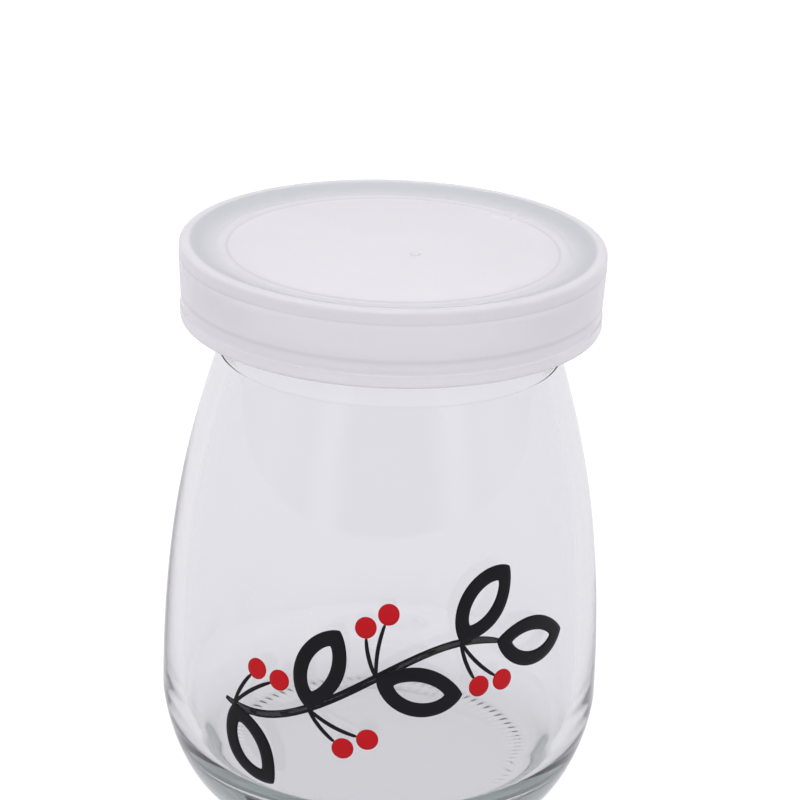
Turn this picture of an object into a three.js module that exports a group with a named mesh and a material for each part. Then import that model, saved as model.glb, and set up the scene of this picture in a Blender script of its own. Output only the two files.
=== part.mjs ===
// A small glass pudding jar with a press-on plastic lid.
// Millimetres, +Z up. The origin is on the table under the centre of the jar, and the front faces -Y.

import * as THREE from 'three';

// Glass jar, outside
const BELLY_RADIUS = 30.0;
const BELLY_HEIGHT = 14.8;
const FOOT_RADIUS = 21.8;      // outer edge of the flat ring that the jar stands on
const FOOT_WIDTH = 2.6;
const PUSH_UP = 0.5;           // rise of the underside at its centre
const PUSH_UP_RADIUS = 12.8;   // where the underside starts to turn down to the foot
const HEEL_FULLNESS = 4.8;     // how far the foot runs on outwards before the heel turns up
const HEEL_RISE = 4.3;         // the heel becomes upright this far below the belly
const BELLY_STRETCH = 23.0;    // the side stays near upright this far above the belly
const SHOULDER_LENGTH = 13.9;  // the shoulder runs near straight this far below the neck
const SHOULDER_LEAN = 0.30;    // lean of the shoulder at the neck, in radians from upright
const NECK_RADIUS = 22.9;
const NECK_HEIGHT = 63.5;      // the fine ring where the neck mould meets the body mould
const NECK_STEP = 0.16;        // inward step at that ring
const NECK_TOP = 64.0;         // where the neck turns out to the lip

// Glass jar, lip and inside
const LIP_RADIUS = 26.5;
const LIP_BOTTOM = 71.6;
const LIP_TOP = 76.2;
const LIP_ROUND = 1.9;         // rounding of the lip's upper edges
const LIP_UNDER_ROUND = 1.0;   // rounding of its lower edge
const MOUTH_RADIUS = 19.2;
const WALL = 2.6;
const NECK_WALL = 2.85;         // wall at the fine ring
const NECK_BLEND = 3.0;        // height over which the mouth turns into the shoulder
const INNER_HEEL_TOP = 17.6;   // where the inside wall starts to curve in to the bottom
const FLOOR_RADIUS = 21.4;     // flat middle of the inside bottom
const FLOOR_TOP = 6.4;         // inside bottom above the table

// Lid
const LID_TOP = 78.5;
const LID_HEIGHT = 10.3;
const LID_RADIUS = 28.3;
const LID_DRAFT = 0.25;        // the skirt is this much narrower at its lower edge
const LID_WALL = 1.2;
const RIM_CORNER = 0.7;        // outer rounding of the rim
const RIM_INNER_RADIUS = 27.1; // inner edge of the rim's crest
const RIM_SLOPE = 0.8;         // length of the soft bends above and below the rim's inner slope
const RING_RADIUS = 23.7;      // outer edge of the low ring round the panel
const RING_HEIGHT = 0.16;
const PANEL_RADIUS = 22.1;     // inner edge of that ring
const PANEL_DEPTH = 0.95;      // the flat panel lies this far below the rim's crest
const PANEL_THICKNESS = 1.1;
const INNER_ROUND = 0.7;       // fillet between the skirt and the rim
const BEAD_HEIGHT = 70.4;      // middle of the bead that holds under the glass lip
const BEAD_HALF_WIDTH = 1.0;
const BEAD_DEPTH = 0.8;
const EDGE_ROUND = 0.35;       // rounding of the skirt's lower edge

const SIDES = 64;
const JAR_STEPS = 6;           // straight pieces in each curve of the outline
const LID_STEPS = 4;

// Turns an outline of radius and height, which starts and ends on the axis, about the vertical.
function turned(outline, steps) {
  return new THREE.LatheGeometry(outline.getPoints(steps), SIDES).rotateX(Math.PI / 2);
}

// Underside, foot, heel, side, neck and lip of the jar, then back down the inside.
function jarOutline() {
  const leanIn = Math.sin(SHOULDER_LEAN);
  const leanUp = Math.cos(SHOULDER_LEAN);
  const shoulderRadius = NECK_RADIUS + SHOULDER_LENGTH * leanIn;
  const shoulderHeight = NECK_HEIGHT - SHOULDER_LENGTH * leanUp;
  const neckRadius = NECK_RADIUS - NECK_STEP;
  const innerNeck = NECK_RADIUS - NECK_WALL;
  const innerBelly = BELLY_RADIUS - WALL;

  const outline = new THREE.Path();
  outline.moveTo(0, PUSH_UP);
  outline.quadraticCurveTo(PUSH_UP_RADIUS, PUSH_UP, FOOT_RADIUS - FOOT_WIDTH, 0);
  outline.lineTo(FOOT_RADIUS, 0);
  outline.bezierCurveTo(
    FOOT_RADIUS + HEEL_FULLNESS, 0,
    BELLY_RADIUS, BELLY_HEIGHT - HEEL_RISE,
    BELLY_RADIUS, BELLY_HEIGHT,
  );
  outline.bezierCurveTo(
    BELLY_RADIUS, BELLY_HEIGHT + BELLY_STRETCH,
    shoulderRadius, shoulderHeight,
    NECK_RADIUS, NECK_HEIGHT,
  );
  outline.lineTo(neckRadius, NECK_HEIGHT + NECK_STEP);
  outline.lineTo(neckRadius, NECK_TOP);
  outline.quadraticCurveTo(neckRadius, LIP_BOTTOM, LIP_RADIUS - LIP_UNDER_ROUND, LIP_BOTTOM);
  outline.quadraticCurveTo(LIP_RADIUS, LIP_BOTTOM, LIP_RADIUS, LIP_BOTTOM + LIP_UNDER_ROUND);
  outline.lineTo(LIP_RADIUS, LIP_TOP - LIP_ROUND);
  outline.quadraticCurveTo(LIP_RADIUS, LIP_TOP, LIP_RADIUS - LIP_ROUND, LIP_TOP);
  outline.lineTo(MOUTH_RADIUS + LIP_ROUND, LIP_TOP);
  outline.quadraticCurveTo(MOUTH_RADIUS, LIP_TOP, MOUTH_RADIUS, LIP_TOP - LIP_ROUND);
  outline.bezierCurveTo(
    MOUTH_RADIUS, LIP_BOTTOM,
    innerNeck - NECK_BLEND * leanIn, NECK_HEIGHT + NECK_BLEND * leanUp,
    innerNeck, NECK_HEIGHT,
  );
  outline.bezierCurveTo(
    shoulderRadius - WALL, shoulderHeight,
    innerBelly, BELLY_HEIGHT + BELLY_STRETCH,
    innerBelly, INNER_HEEL_TOP,
  );
  outline.quadraticCurveTo(innerBelly, FLOOR_TOP, FLOOR_RADIUS, FLOOR_TOP);
  outline.lineTo(0, FLOOR_TOP);
  return outline;
}

// Underside, inner skirt and bead of the lid, then up the outside, over the rim and across the panel.
function lidOutline() {
  const panelTop = LID_TOP - PANEL_DEPTH;
  const panelUnder = panelTop - PANEL_THICKNESS;
  const rimUnder = LID_TOP - LID_WALL;
  const skirtInner = LID_RADIUS - LID_WALL;
  const lowerEdge = LID_TOP - LID_HEIGHT;
  const lowerRadius = LID_RADIUS - LID_DRAFT;

  const outline = new THREE.Path();
  outline.moveTo(0, panelUnder);
  outline.lineTo(RING_RADIUS, panelUnder);
  outline.lineTo(skirtInner - INNER_ROUND, rimUnder);
  outline.quadraticCurveTo(skirtInner, rimUnder, skirtInner, rimUnder - INNER_ROUND);
  outline.lineTo(skirtInner, BEAD_HEIGHT + BEAD_HALF_WIDTH);
  outline.quadraticCurveTo(
    skirtInner - 2 * BEAD_DEPTH, BEAD_HEIGHT,
    skirtInner, BEAD_HEIGHT - BEAD_HALF_WIDTH,
  );
  outline.lineTo(skirtInner, lowerEdge + EDGE_ROUND);
  outline.lineTo(skirtInner + EDGE_ROUND, lowerEdge);
  outline.lineTo(lowerRadius - EDGE_ROUND, lowerEdge);
  outline.lineTo(lowerRadius, lowerEdge + EDGE_ROUND);
  outline.lineTo(LID_RADIUS, LID_TOP - RIM_CORNER);
  outline.quadraticCurveTo(LID_RADIUS, LID_TOP, LID_RADIUS - RIM_CORNER, LID_TOP);
  outline.lineTo(RIM_INNER_RADIUS, LID_TOP);
  outline.bezierCurveTo(
    RIM_INNER_RADIUS - RIM_SLOPE, LID_TOP,
    RING_RADIUS + RIM_SLOPE, panelTop,
    RING_RADIUS, panelTop,
  );
  outline.quadraticCurveTo(
    (RING_RADIUS + PANEL_RADIUS) / 2, panelTop + 2 * RING_HEIGHT,
    PANEL_RADIUS, panelTop,
  );
  outline.lineTo(0, panelTop);
  return outline;
}

// Clear soda-lime glass, pressed and blown in one piece.
const glassJar = new THREE.Mesh(
  turned(jarOutline(), JAR_STEPS),
  new THREE.MeshStandardMaterial({ color: 0xe1dee5, roughness: 0.03, transparent: true, opacity: 0.35 }),
);
glassJar.name = 'glass_jar';

// Milky soft plastic, moulded in one piece and pressed over the glass lip.
const lid = new THREE.Mesh(
  turned(lidOutline(), LID_STEPS),
  new THREE.MeshStandardMaterial({ color: 0xe4e1e8, roughness: 0.35 }),
);
lid.name = 'lid';

const puddingJar = new THREE.Group();
puddingJar.add(glassJar, lid);

export default puddingJar;
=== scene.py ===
import math

import bmesh
import bpy
import numpy as np
from mathutils import Matrix


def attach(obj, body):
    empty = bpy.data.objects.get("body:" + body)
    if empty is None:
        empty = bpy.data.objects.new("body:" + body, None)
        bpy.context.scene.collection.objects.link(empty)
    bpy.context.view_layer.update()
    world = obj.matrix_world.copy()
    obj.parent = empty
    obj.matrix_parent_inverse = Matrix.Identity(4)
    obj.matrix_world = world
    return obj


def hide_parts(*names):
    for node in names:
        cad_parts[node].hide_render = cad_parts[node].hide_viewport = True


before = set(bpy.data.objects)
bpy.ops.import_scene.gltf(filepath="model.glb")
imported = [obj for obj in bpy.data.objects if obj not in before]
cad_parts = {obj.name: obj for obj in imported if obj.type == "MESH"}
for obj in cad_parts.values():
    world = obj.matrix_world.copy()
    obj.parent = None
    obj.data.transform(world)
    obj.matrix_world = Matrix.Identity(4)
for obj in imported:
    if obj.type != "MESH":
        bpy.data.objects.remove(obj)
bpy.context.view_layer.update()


# The jar is one piece of clear soda-lime glass, pressed and blown in a split iron mould. The mould leaves
# a fine ring under the neck, two upright seams that fade down the shoulder, and short bars across the ring
# that it stands on. The inside was never touched by a tool, so its wall is a little uneven.
MM = 0.001
BELLY_RADIUS = 30.0
BELLY_HEIGHT = 14.8
FOOT_RADIUS = 21.8
FOOT_WIDTH = 2.6
PUSH_UP = 0.5
PUSH_UP_RADIUS = 12.8
HEEL_FULLNESS = 4.8
HEEL_RISE = 4.3
BELLY_STRETCH = 23.0
SHOULDER_LENGTH = 13.9
SHOULDER_LEAN = 0.30
NECK_RADIUS = 22.9
NECK_HEIGHT = 63.5
NECK_STEP = 0.16
NECK_TOP = 64.0
LIP_RADIUS = 26.5
LIP_BOTTOM = 71.6
LIP_TOP = 76.2
LIP_ROUND = 1.9
LIP_UNDER_ROUND = 1.0
MOUTH_RADIUS = 19.2
WALL = 2.6
NECK_WALL = 2.85
NECK_BLEND = 3.0
INNER_HEEL_TOP = 17.6
FLOOR_RADIUS = 21.4
FLOOR_TOP = 6.4
KNURLS = 90
COLUMNS_PER_KNURL = 6
KNURL_DEPTH = 0.10
KNURL_MIDDLE = 20.5
KNURL_REACH = 1.5
SEAM_ANGLES = np.radians([238.0, 58.0])
SEAM_HEIGHT = 0.10
SEAM_WIDTH = 0.010
SEAM_FADE = 9.0
UNEVEN_WALL = 0.04


def curve(*controls, count=14):
    """A Bezier curve: each control point weighted by its Bernstein polynomial of the curve's degree."""
    degree = len(controls) - 1
    t = np.linspace(0, 1, count)[:, None]
    weights = [math.comb(degree, k) * t**k * (1 - t) ** (degree - k) for k in range(degree + 1)]
    return sum(weight * np.array(control, float) for weight, control in zip(weights, controls))


def joined(*stretches):
    """Stretches of an outline set end to end, with points that repeat the one before left out."""
    points = np.vstack(stretches)
    step = np.linalg.norm(np.diff(points, axis=0), axis=1)
    return points[np.append(True, step > 1e-6)]


def surface(name, grids):
    """Mesh of grids of points in millimetres. Quads join neighbours, the last column joins the first, and
    points that coincide merge, which closes the poles and an outline whose last row repeats its first."""
    points, quads, start = [], [], 0
    for grid in grids:
        rows, columns, _ = grid.shape
        index = start + np.arange(rows * columns).reshape(rows, columns)
        beside = np.roll(index, -1, axis=1)
        quads.append(np.stack([index[:-1], beside[:-1], beside[1:], index[1:]], axis=-1).reshape(-1, 4))
        points.append(grid.reshape(-1, 3))
        start += rows * columns
    mesh = bpy.data.meshes.new(name)
    mesh.from_pydata((np.vstack(points) * MM).tolist(), [], np.vstack(quads).tolist())
    work = bmesh.new()
    work.from_mesh(mesh)
    bmesh.ops.remove_doubles(work, verts=work.verts, dist=1e-8)
    work.to_mesh(mesh)
    work.free()
    mesh.shade_smooth()
    piece = bpy.data.objects.new(name, mesh)
    bpy.context.scene.collection.objects.link(piece)
    return piece


class Shade:
    """A shader value. Arithmetic on it adds Math nodes, and node() adds any other node to its tree."""

    def __init__(self, tree, socket=None):
        self.tree = tree
        self.socket = socket

    def node(self, kind, settings=None, sockets=None, output=0):
        """Adds a node, sets its settings first and then gives each named socket its value or link."""
        made = self.tree.nodes.new(kind)
        for name, value in (settings or {}).items():
            setattr(made, name, value)
        for name, value in (sockets or {}).items():
            if isinstance(value, Shade):
                self.tree.links.new(value.socket, made.inputs[name])
            else:
                made.inputs[name].default_value = value
        return Shade(self.tree, made.outputs[output] if made.outputs else None)

    def maths(self, operation, first, second):
        return self.node("ShaderNodeMath", {"operation": operation}, {0: first, 1: second})

    def __add__(self, other):
        return self.maths("ADD", self, other)

    def __sub__(self, other):
        return self.maths("SUBTRACT", self, other)

    def __mul__(self, other):
        return self.maths("MULTIPLY", self, other)

    def __rsub__(self, other):
        return self.maths("SUBTRACT", other, self)

    __radd__ = __add__
    __rmul__ = __mul__


def new_material(name):
    """An empty node material, its tree as a Shade, and the Object coordinates that its patterns read."""
    material = bpy.data.materials.new(name)
    material.use_nodes = True
    material.node_tree.nodes.clear()
    tree = Shade(material.node_tree)
    return material, tree, tree.node("ShaderNodeTexCoord", output="Object")


lean_in, lean_up = math.sin(SHOULDER_LEAN), math.cos(SHOULDER_LEAN)
shoulder_radius = NECK_RADIUS + SHOULDER_LENGTH * lean_in
shoulder_height = NECK_HEIGHT - SHOULDER_LENGTH * lean_up
neck_radius = NECK_RADIUS - NECK_STEP
inner_neck = NECK_RADIUS - NECK_WALL
inner_belly = BELLY_RADIUS - WALL
foot_inner = FOOT_RADIUS - FOOT_WIDTH

underside = curve((0, PUSH_UP), (PUSH_UP_RADIUS, PUSH_UP), (foot_inner, 0), count=12)
foot = curve((foot_inner, 0), (FOOT_RADIUS, 0), count=7)
heel = curve((FOOT_RADIUS, 0), (FOOT_RADIUS + HEEL_FULLNESS, 0), (BELLY_RADIUS, BELLY_HEIGHT - HEEL_RISE),
             (BELLY_RADIUS, BELLY_HEIGHT), count=22)
side = curve((BELLY_RADIUS, BELLY_HEIGHT), (BELLY_RADIUS, BELLY_HEIGHT + BELLY_STRETCH),
             (shoulder_radius, shoulder_height), (NECK_RADIUS, NECK_HEIGHT), count=28)
neck = joined(
    curve((NECK_RADIUS, NECK_HEIGHT), (NECK_RADIUS, NECK_HEIGHT + NECK_STEP),
          (neck_radius, NECK_HEIGHT + NECK_STEP), count=4),
    curve((neck_radius, NECK_TOP), (neck_radius, LIP_BOTTOM),
          (LIP_RADIUS - LIP_UNDER_ROUND, LIP_BOTTOM), count=10),
)
lip = joined(
    curve((LIP_RADIUS - LIP_UNDER_ROUND, LIP_BOTTOM), (LIP_RADIUS, LIP_BOTTOM),
          (LIP_RADIUS, LIP_BOTTOM + LIP_UNDER_ROUND), count=6),
    curve((LIP_RADIUS, LIP_TOP - LIP_ROUND), (LIP_RADIUS, LIP_TOP),
          (LIP_RADIUS - LIP_ROUND, LIP_TOP), count=8),
    curve((MOUTH_RADIUS + LIP_ROUND, LIP_TOP), (MOUTH_RADIUS, LIP_TOP),
          (MOUTH_RADIUS, LIP_TOP - LIP_ROUND), count=8),
)
inside = joined(
    curve((MOUTH_RADIUS, LIP_TOP - LIP_ROUND), (MOUTH_RADIUS, LIP_BOTTOM),
          (inner_neck - NECK_BLEND * lean_in, NECK_HEIGHT + NECK_BLEND * lean_up), (inner_neck, NECK_HEIGHT),
          count=12),
    curve((inner_neck, NECK_HEIGHT), (shoulder_radius - WALL, shoulder_height),
          (inner_belly, BELLY_HEIGHT + BELLY_STRETCH), (inner_belly, INNER_HEEL_TOP), count=26),
    curve((inner_belly, INNER_HEEL_TOP), (inner_belly, FLOOR_TOP), (FLOOR_RADIUS, FLOOR_TOP), count=16),
    curve((FLOOR_RADIUS, FLOOR_TOP), (0, FLOOR_TOP), count=8),
)


def glass_grid():
    """The outline turned about the axis. On the foot the height gains bars, a cosine of the angle inside a
    soft window of the radius. The outside gains seams, narrow bells of the angle. The inside gains a few
    low waves."""
    even = 2 * math.pi * np.arange(KNURLS * COLUMNS_PER_KNURL) / (KNURLS * COLUMNS_PER_KNURL)
    fan = (SEAM_ANGLES[:, None] + SEAM_WIDTH * np.linspace(-2, 2, 9)).ravel()
    angle = np.unique(np.concatenate([even, fan]))
    outer = joined(underside, foot, heel, side, neck, lip)
    outline = joined(outer, inside)
    radius = np.repeat(outline[:, :1], len(angle), axis=1)
    height = np.repeat(outline[:, 1:], len(angle), axis=1)

    is_outer = np.arange(len(outline))[:, None] < len(outer)
    below = height < FLOOR_TOP / 2
    off_middle = np.clip(np.abs(radius - KNURL_MIDDLE) / KNURL_REACH, 0, 1)
    bars = 0.5 - 0.5 * np.cos(KNURLS * angle)
    height = height + is_outer * below * KNURL_DEPTH * bars * (1 - off_middle**2) ** 2

    turn = np.abs((angle[:, None] - SEAM_ANGLES + math.pi) % (2 * math.pi) - math.pi)
    seam = np.exp(-((turn / SEAM_WIDTH) ** 2)).sum(axis=1)
    fade = np.exp(-np.clip(NECK_HEIGHT - height, 0, None) / SEAM_FADE)
    on_shoulder = is_outer & (height > BELLY_HEIGHT) & (height <= NECK_HEIGHT)
    radius = radius + on_shoulder * SEAM_HEIGHT * fade * seam

    up = np.clip((height - INNER_HEEL_TOP) / (NECK_HEIGHT - INNER_HEEL_TOP), 0, 1)
    waves = np.sin(2 * angle + 0.6) + 0.7 * np.sin(3 * angle + 4 * up + 1.9)
    waves = waves + 0.5 * np.sin(5 * angle - 5 * up)
    radius = radius + ~is_outer * UNEVEN_WALL * waves * np.sin(math.pi * up)
    return np.stack([radius * np.cos(angle), radius * np.sin(angle), height], axis=-1)


jar = surface("clear_glass_jar", [glass_grid()])
glass, tree, place = new_material("clear glass")
smudges = tree.node("ShaderNodeTexNoise", {}, {"Vector": place, "Scale": 70.0, "Detail": 3.0})
ripple = tree.node("ShaderNodeTexNoise", {}, {"Vector": place, "Scale": 60.0, "Detail": 0.0})
skin = tree.node("ShaderNodeBump", {}, {"Strength": 0.02, "Distance": 0.001, "Height": ripple})
clear = tree.node("ShaderNodeBsdfPrincipled", {}, {
    "Base Color": (0.975, 0.969, 0.980, 1.0),
    "Roughness": smudges * 0.012,
    "IOR": 1.52,
    "Transmission Weight": 1.0,
    "Normal": skin,
})
tint = tree.node("ShaderNodeVolumeAbsorption", {}, {"Color": (0.52, 0.58, 0.555, 1.0), "Density": 45.0})
tree.node("ShaderNodeOutputMaterial", {}, {"Surface": clear, "Volume": tint})
jar.data.materials.append(glass)
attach(jar, "root")
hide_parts("glass_jar")


# The front carries a screen print in two inks, fired on to the glass: a sprig of black leaves with clear
# windows, and red berries on thin stalks. The film is a few hundredths of a millimetre thick and is keyed
# into the glass.
INK_LIFT = 0.04
INK_KEY = 0.04
STEM = ((-22.0, 22.0), (-9.5, 17.0), (3.5, 38.0), (17.0, 32.5))
STEM_WIDTH = 1.1
NODES = (0.04, 0.335, 0.565, 0.85)
LEAF_LENGTH = 12.0
LEAF_WIDTH = 6.8
LEAF_SPREAD = math.radians(56.0)
LEAF_BEND = math.radians(24.0)
WINDOW_LENGTH = 0.58
WINDOW_WIDTH = 0.42
LEAF_FULLNESS = 1.5
END_LEAF = 0.985
BERRY_RADIUS = 1.45
BERRY_FULLNESS = 1.0
BERRY_BEND = 0.01
BERRY_SPREADS = np.radians([64.5, 87.5])
STALK_LENGTHS = (7.4, 5.6)
STALK_WIDTH = 0.55
STROKE_FULLNESS = 0.35
INK_COLUMNS = 72

wall_outline = joined(heel, side)


def on_glass(flat, lift):
    """Wraps points of arc and height round the jar: the arc over the belly's radius is the angle from the
    front, and the radius is the glass outline's at that height plus the lift."""
    angle = flat[..., 0] / BELLY_RADIUS
    radius = np.interp(flat[..., 1], wall_outline[:, 1], wall_outline[:, 0]) + lift
    return np.stack([radius * np.sin(angle), -radius * np.cos(angle), flat[..., 1]], axis=-1)


def ink_film(spine, width, fullness, window=(0.0, 0.0), rows=5):
    """A film along a spine, a function from nought to one that gives points and unit normals. Round the
    film, the way along is half of one minus the cosine and the way across is a power of the sine. Rows run
    from the window's edge to the rim on the outer face and back on the inner face, and end where they
    began."""
    turn = 2 * math.pi * np.arange(INK_COLUMNS) / INK_COLUMNS
    ring = np.linspace(0, 1, rows)[:, None]
    across = np.sign(np.sin(turn)) * np.abs(np.sin(turn)) ** fullness * width / 2
    along = -np.cos(turn) / 2
    reach = 0.5 + along * (window[0] + (1 - window[0]) * ring)
    offset = across * (window[1] + (1 - window[1]) * ring)
    middle, normal = spine(reach)
    flat = middle + normal * offset[..., None]
    outer, inner = on_glass(flat, INK_LIFT), on_glass(flat, -INK_KEY)
    return np.concatenate([outer, inner[::-1], outer[:1]] if window[1] else [outer, inner[::-1]])


def stem_spine(t):
    """The stem's Bezier curve, with the unit normal to the left of its way."""
    a, b, c, d = (np.array(point) for point in STEM)
    t = np.asarray(t)[..., None]
    point = a * (1 - t) ** 3 + 3 * b * t * (1 - t) ** 2 + 3 * c * t**2 * (1 - t) + d * t**3
    way = 3 * (b - a) * (1 - t) ** 2 + 6 * (c - b) * t * (1 - t) + 3 * (d - c) * t**2
    way = way / np.linalg.norm(way, axis=-1, keepdims=True)
    return point, np.stack([-way[..., 1], way[..., 0]], axis=-1)


def arc_spine(start, heading, length, bend):
    """A circular arc from the start: the heading turns by the bend over the length, and the point is its
    integral."""
    def spine(t):
        turned_by = heading + bend * np.asarray(t)
        sideways = np.sin(turned_by) - math.sin(heading)
        upwards = math.cos(heading) - np.cos(turned_by)
        point = start + np.stack([sideways, upwards], axis=-1) * length / bend
        return point, np.stack([-np.sin(turned_by), np.cos(turned_by)], axis=-1)
    return spine


def branch(place, side_sign, spread):
    """Where a branch leaves the stem, and its heading: the stem's own, turned to one side."""
    point, normal = stem_spine(place)
    return point, math.atan2(-normal[0], normal[1]) + side_sign * spread


leaves = [ink_film(stem_spine, STEM_WIDTH, STROKE_FULLNESS)]
berries = []
for count, node in enumerate(NODES):
    side_sign = 1 if count % 2 else -1
    start, heading = branch(node, side_sign, LEAF_SPREAD)
    leaf = arc_spine(start, heading, LEAF_LENGTH, -side_sign * LEAF_BEND)
    leaves.append(ink_film(leaf, LEAF_WIDTH, LEAF_FULLNESS, (WINDOW_LENGTH, WINDOW_WIDTH)))
    for spread, length in zip(BERRY_SPREADS, STALK_LENGTHS):
        start, heading = branch(node, -side_sign, spread)
        stalk = arc_spine(start, heading, length, side_sign * LEAF_BEND)
        leaves.append(ink_film(stalk, STALK_WIDTH, STROKE_FULLNESS, rows=3))
        tip, normal = stalk(1.0)
        berry = arc_spine(tip, math.atan2(-normal[0], normal[1]), 2 * BERRY_RADIUS, BERRY_BEND)
        berries.append(ink_film(berry, 2 * BERRY_RADIUS, BERRY_FULLNESS, rows=4))
start, heading = branch(END_LEAF, 1, 0.0)
leaf = arc_spine(start, heading, LEAF_LENGTH, LEAF_BEND)
leaves.append(ink_film(leaf, LEAF_WIDTH, LEAF_FULLNESS, (WINDOW_LENGTH, WINDOW_WIDTH)))


def print_ink(name, grids, colour, worn):
    """A printed film of one ink, with a slow change of tone and roughness over it."""
    piece = surface(name, grids)
    ink, tree, place = new_material(name)
    cloud = tree.node("ShaderNodeTexNoise", {}, {"Vector": place, "Scale": 260.0, "Detail": 3.0})
    tone = tree.node("ShaderNodeMix", {"data_type": "RGBA"}, {0: cloud, 6: colour, 7: worn}, output=2)
    film = tree.node("ShaderNodeBsdfPrincipled", {}, {
        "Base Color": tone,
        "Roughness": 0.30 + 0.2 * cloud,
        "Specular IOR Level": 0.1,
    })
    tree.node("ShaderNodeOutputMaterial", {}, {"Surface": film})
    piece.data.materials.append(ink)
    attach(piece, "root")


print_ink("leaf_print", leaves, (0.006, 0.006, 0.008, 1.0), (0.012, 0.012, 0.014, 1.0))
print_ink("berry_print", berries, (0.46, 0.006, 0.010, 1.0), (0.54, 0.010, 0.016, 1.0))


# The lid is moulded in one piece from a soft milky plastic. Its panel lies a little below a raised rim,
# and its skirt is pressed over the glass lip, where an inner bead holds it. A low nub on the panel shows
# where it was filled.
LID_TOP = 78.5
LID_HEIGHT = 10.3
LID_RADIUS = 28.3
LID_DRAFT = 0.25
LID_WALL = 1.2
RIM_CORNER = 0.7
RIM_INNER_RADIUS = 27.1
RIM_SLOPE = 0.8
RING_RADIUS = 23.7
RING_HEIGHT = 0.16
PANEL_RADIUS = 22.1
PANEL_DEPTH = 0.95
PANEL_THICKNESS = 1.1
INNER_ROUND = 0.7
BEAD_HEIGHT = 70.4
BEAD_HALF_WIDTH = 1.0
BEAD_DEPTH = 0.8
EDGE_ROUND = 0.35
HEM_TOP = 69.9
HEM_STEP = 0.12
GROOVE_HEIGHT = 76.7
GROOVE_DEPTH = 0.04
GROOVE_HALF_WIDTH = 0.18
MARK_PLACE = (2.9, -2.4, 0.0)
MARK_RADIUS = 0.7
MARK_HEIGHT = 0.12
MARK_ROOT = 0.3
LID_COLUMNS = 360
MARK_COLUMNS = 40

panel_top = LID_TOP - PANEL_DEPTH
panel_under = panel_top - PANEL_THICKNESS
rim_under = LID_TOP - LID_WALL
skirt_inner = LID_RADIUS - LID_WALL
lower_edge = LID_TOP - LID_HEIGHT
lower_radius = LID_RADIUS - LID_DRAFT
ring_middle = (RING_RADIUS + PANEL_RADIUS) / 2
lid_outline = joined(
    curve((0, panel_under), (RING_RADIUS, panel_under), count=10),
    curve((RING_RADIUS, panel_under), (skirt_inner - INNER_ROUND, rim_under), count=6),
    curve((skirt_inner - INNER_ROUND, rim_under), (skirt_inner, rim_under),
          (skirt_inner, rim_under - INNER_ROUND), count=6),
    curve((skirt_inner, rim_under - INNER_ROUND), (skirt_inner, BEAD_HEIGHT + BEAD_HALF_WIDTH), count=6),
    curve((skirt_inner, BEAD_HEIGHT + BEAD_HALF_WIDTH), (skirt_inner - 2 * BEAD_DEPTH, BEAD_HEIGHT),
          (skirt_inner, BEAD_HEIGHT - BEAD_HALF_WIDTH), count=12),
    curve((skirt_inner, lower_edge + EDGE_ROUND), (skirt_inner, lower_edge),
          (skirt_inner + EDGE_ROUND, lower_edge), count=5),
    curve((lower_radius - EDGE_ROUND, lower_edge), (lower_radius, lower_edge),
          (lower_radius, lower_edge + EDGE_ROUND), count=5),
    curve((lower_radius, HEM_TOP - HEM_STEP), (lower_radius, HEM_TOP),
          (lower_radius - HEM_STEP, HEM_TOP), count=4),
    curve((lower_radius - HEM_STEP, HEM_TOP), (LID_RADIUS, GROOVE_HEIGHT - GROOVE_HALF_WIDTH), count=12),
    curve((LID_RADIUS, GROOVE_HEIGHT - GROOVE_HALF_WIDTH), (LID_RADIUS - 2 * GROOVE_DEPTH, GROOVE_HEIGHT),
          (LID_RADIUS, GROOVE_HEIGHT + GROOVE_HALF_WIDTH), count=5),
    curve((LID_RADIUS, LID_TOP - RIM_CORNER), (LID_RADIUS, LID_TOP),
          (LID_RADIUS - RIM_CORNER, LID_TOP), count=9),
    curve((LID_RADIUS - RIM_CORNER, LID_TOP), (RIM_INNER_RADIUS, LID_TOP), count=4),
    curve((RIM_INNER_RADIUS, LID_TOP), (RIM_INNER_RADIUS - RIM_SLOPE, LID_TOP),
          (RING_RADIUS + RIM_SLOPE, panel_top), (RING_RADIUS, panel_top), count=14),
    curve((RING_RADIUS, panel_top), (ring_middle, panel_top + 2 * RING_HEIGHT),
          (PANEL_RADIUS, panel_top), count=9),
    curve((PANEL_RADIUS, panel_top), (0, panel_top), count=16),
)


def turned(outline, columns):
    """The outline carried round the axis: radius times cosine and sine of the angle, and height."""
    angle = 2 * math.pi * np.arange(columns) / columns
    radius, height = outline[:, :1], np.repeat(outline[:, 1:], columns, axis=1)
    return np.stack([radius * np.cos(angle), radius * np.sin(angle), height], axis=-1)


mark_outline = joined(
    curve((0, panel_top - MARK_ROOT), (MARK_RADIUS, panel_top - MARK_ROOT), count=3),
    curve((MARK_RADIUS, panel_top), (MARK_RADIUS / 2, panel_top + 2 * MARK_HEIGHT),
          (0, panel_top + MARK_HEIGHT), count=7),
)
nub = turned(mark_outline, MARK_COLUMNS) + MARK_PLACE
lid = surface("press_lid", [turned(lid_outline, LID_COLUMNS), nub])
milky, tree, place = new_material("milky plastic")
mottle = tree.node("ShaderNodeTexNoise", {}, {"Vector": place, "Scale": 90.0, "Detail": 3.0})
grain = tree.node("ShaderNodeTexNoise", {}, {"Vector": place, "Scale": 1400.0, "Detail": 2.0})
skin = tree.node("ShaderNodeBump", {}, {"Strength": 0.08, "Distance": 0.0002, "Height": grain})
parts = tree.node("ShaderNodeSeparateXYZ", {}, {"Vector": place}).socket.node.outputs
east, north, height = (Shade(tree.tree, parts[name]) for name in "XYZ")
radius = tree.maths("SQRT", east * east + north * north, 0)


def ease(value, low, high):
    """Rises smoothly from nought at the low mark to one at the high mark, both in millimetres."""
    return value.node("ShaderNodeMapRange", {"interpolation_type": "SMOOTHSTEP"}, {
        "Value": value, 1: low * MM, 2: high * MM})


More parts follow.
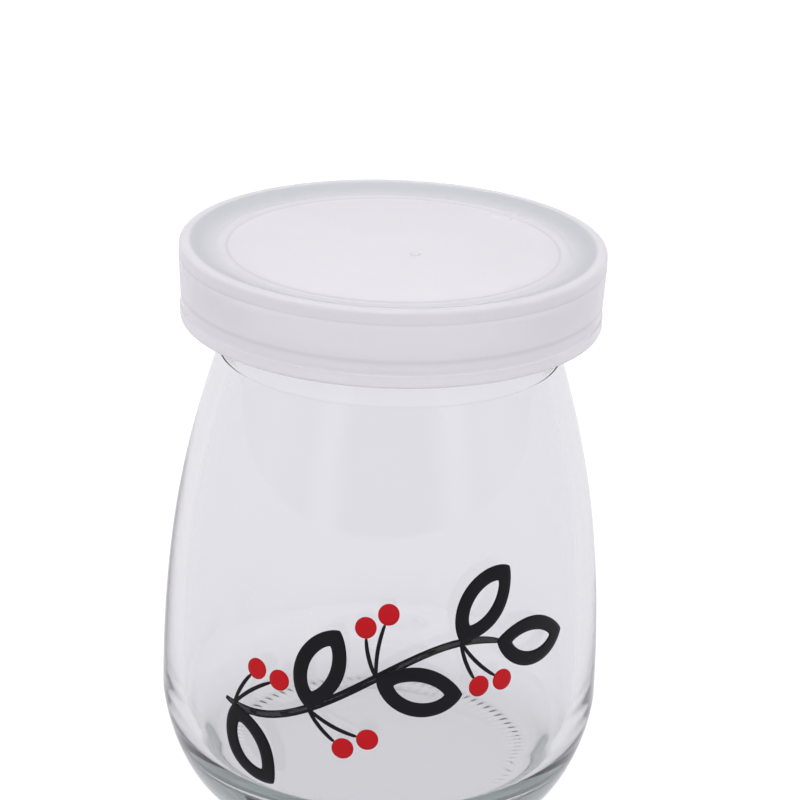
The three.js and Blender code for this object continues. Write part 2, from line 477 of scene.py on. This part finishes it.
def line(value, middle, half_width):
    """One at the middle, falling smoothly to nought at the half width on both sides, in millimetres."""
    return ease(value, middle - half_width, middle) * (1 - ease(value, middle, middle + half_width))


on_top = ease(height, rim_under - 0.4, rim_under)
within_rim = 1 - ease(radius, LIP_RADIUS + 0.1, RIM_INNER_RADIUS + 0.1)
# Painted shade: a darker band on the ring and the rim's inner slope over the glass lip, where less light
# comes up through the plastic than through the panel over the open jar.
painted_lip_shade = on_top * ease(radius, PANEL_RADIUS - 0.6, LIP_RADIUS - 0.1) * within_rim
# Painted shade: a thin darker ring in the crease where the panel meets the raised ring.
painted_crease_shade = on_top * line(radius, PANEL_RADIUS - 0.1, 0.35)
# Painted shade on the skirt: a dark line in the groove under the rim, and a dark line where the glass lip's
# lower edge lies behind the skirt.
groove_and_lip_shade = 0.3 * line(height, GROOVE_HEIGHT, 0.25) + 0.4 * line(height, LIP_BOTTOM + 0.1, 0.5)
painted_skirt_shade = (1 - on_top) * groove_and_lip_shade
# All the painted shade together, as a mask.
all_painted_shade = painted_lip_shade + 0.5 * painted_crease_shade + painted_skirt_shade
cloudy = tree.node("ShaderNodeMix", {"data_type": "RGBA"}, {
    0: mottle,
    6: (0.91, 0.90, 0.92, 1.0),
    7: (0.96, 0.95, 0.97, 1.0),
}, output=2)
# The plastic's mottled colour, mixed by the painted shade mask towards a darker grey-blue shade colour.
colour = tree.node("ShaderNodeMix", {"data_type": "RGBA"}, {
    0: all_painted_shade,
    6: cloudy,
    7: (0.70, 0.72, 0.745, 1.0),
}, output=2)
plastic = tree.node("ShaderNodeBsdfPrincipled", {}, {
    "Base Color": colour,
    "Roughness": 0.20 + 0.1 * mottle,
    "IOR": 1.5,
    "Transmission Weight": 0.35,
    "Normal": skin,
})
tree.node("ShaderNodeOutputMaterial", {}, {"Surface": plastic})
lid.data.materials.append(milky)
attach(lid, "root")
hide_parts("lid")


# The picture is taken on a white sweep under a large soft light, with two tall soft boxes before the jar
# and a dimmer room behind the camera. Sheet and room are burnt out to white where they are seen directly,
# and through the glass they show at their own light.
CAMERA_PLACE = (0.0, -0.3782, 0.2013)
CAMERA_YAW = math.radians(0.240)
CAMERA_PITCH = math.radians(-21.010)
CAMERA_ROLL = math.radians(2.039)
CAMERA_LENS = 135.43

floor_mesh = bpy.data.meshes.new("floor")
floor_mesh.from_pydata([(-6, -6, 0), (6, -6, 0), (6, 6, 0), (-6, 6, 0)], [], [(0, 1, 2, 3)])
floor = bpy.data.objects.new("floor", floor_mesh)
bpy.context.scene.collection.objects.link(floor)
paper, tree, _ = new_material("white paper")
lit = tree.node("ShaderNodeMix", {"data_type": "RGBA"}, {
    0: tree.node("ShaderNodeLightPath", output="Is Camera Ray"),
    6: (0.73, 0.715, 0.75, 1.0),
    7: (0.97, 0.95, 1.0, 1.0),
}, output=2)
sheet = tree.node("ShaderNodeBsdfPrincipled", {}, {
    "Base Color": (0.15, 0.147, 0.153, 1.0),
    "Roughness": 0.9,
    "Emission Color": lit,
    "Emission Strength": 1.0,
})
tree.node("ShaderNodeOutputMaterial", {}, {"Surface": sheet})
floor_mesh.materials.append(paper)

room = bpy.data.worlds.new("room")
room.use_nodes = True
room.node_tree.nodes.clear()
tree = Shade(room.node_tree)
direction = tree.node("ShaderNodeTexCoord", output="Generated")
axes = tree.node("ShaderNodeSeparateXYZ", {}, {"Vector": direction}).socket.node.outputs
sideways, backwards, upwards = (Shade(tree.tree, axes[name]) for name in "XYZ")
bearing = tree.maths("ARCTAN2", sideways, -1 * backwards)
dim = tree.node("ShaderNodeMapRange", {"interpolation_type": "SMOOTHSTEP"}, {
    "Value": backwards, 1: -0.2, 2: -0.9})
zenith = tree.node("ShaderNodeMapRange", {"interpolation_type": "SMOOTHSTEP"}, {
    "Value": upwards, 1: 0.2, 2: 1.0})


def strip(centre, half_width):
    """A tall soft patch: one at its bearing, falling smoothly to nought at its half width."""
    off = tree.maths("ABSOLUTE", bearing - math.radians(centre), 0)
    return tree.node("ShaderNodeMapRange", {"interpolation_type": "SMOOTHSTEP"}, {
        "Value": off, 1: math.radians(half_width), 2: 0.0})


seen = tree.node("ShaderNodeLightPath", output="Is Camera Ray")
brightness = 0.80 - 0.24 * dim + 0.30 * zenith + 0.50 * dim * (strip(-36, 16) + strip(43, 18))
glow = tree.node("ShaderNodeBackground", {}, {
    "Color": (1.0, 0.98, 1.03, 1.0),
    "Strength": brightness * (1 - seen) + 1.1 * seen,
})
tree.node("ShaderNodeOutputWorld", {}, {"Surface": glow})
bpy.context.scene.world = room


def soft_box(name, azimuth, elevation, distance, width, height, watts):
    """A rectangular area light at a direction and distance from the jar's middle, turned to face it."""
    lamp = bpy.data.lights.new(name, "AREA")
    lamp.shape = "RECTANGLE"
    lamp.size = width
    lamp.size_y = height
    lamp.energy = watts
    light = bpy.data.objects.new(name, lamp)
    a, e = math.radians(azimuth), math.radians(elevation)
    towards = np.array([math.sin(a) * math.cos(e), -math.cos(a) * math.cos(e), math.sin(e)])
    right = np.array([math.cos(a), math.sin(a), 0.0])
    up = np.cross(towards, right)
    middle = np.array([0.0, 0.0, LID_TOP / 2 * MM])
    spot = middle + distance * towards
    light.matrix_world = Matrix([[right[k], up[k], towards[k], spot[k]] for k in range(3)] + [[0, 0, 0, 1]])
    bpy.context.scene.collection.objects.link(light)


soft_box("top_box", -8, 66, 1.0, 0.25, 0.12, 1.8)

camera_data = bpy.data.cameras.new("camera")
camera_data.sensor_width = 36.0
camera_data.lens = CAMERA_LENS
camera_data.clip_start = 0.01
camera = bpy.data.objects.new("camera", camera_data)
bpy.context.scene.collection.objects.link(camera)
forward = np.array([
    math.sin(CAMERA_YAW) * math.cos(CAMERA_PITCH),
    math.cos(CAMERA_YAW) * math.cos(CAMERA_PITCH),
    math.sin(CAMERA_PITCH),
])
level = np.array([math.cos(CAMERA_YAW), -math.sin(CAMERA_YAW), 0.0])
upright = np.cross(level, forward)
across = math.cos(CAMERA_ROLL) * level + math.sin(CAMERA_ROLL) * upright
overhead = math.cos(CAMERA_ROLL) * upright - math.sin(CAMERA_ROLL) * level
camera.matrix_world = Matrix(
    [[across[k], overhead[k], -forward[k], CAMERA_PLACE[k]] for k in range(3)] + [[0, 0, 0, 1]]
)
bpy.context.scene.camera = camera
bpy.context.scene.view_settings.view_transform = "Standard"

# Light turns many times inside the thick glass before it leaves.
paths = bpy.context.scene.cycles
paths.max_bounces = 32
paths.glossy_bounces = 24
paths.transmission_bounces = 24
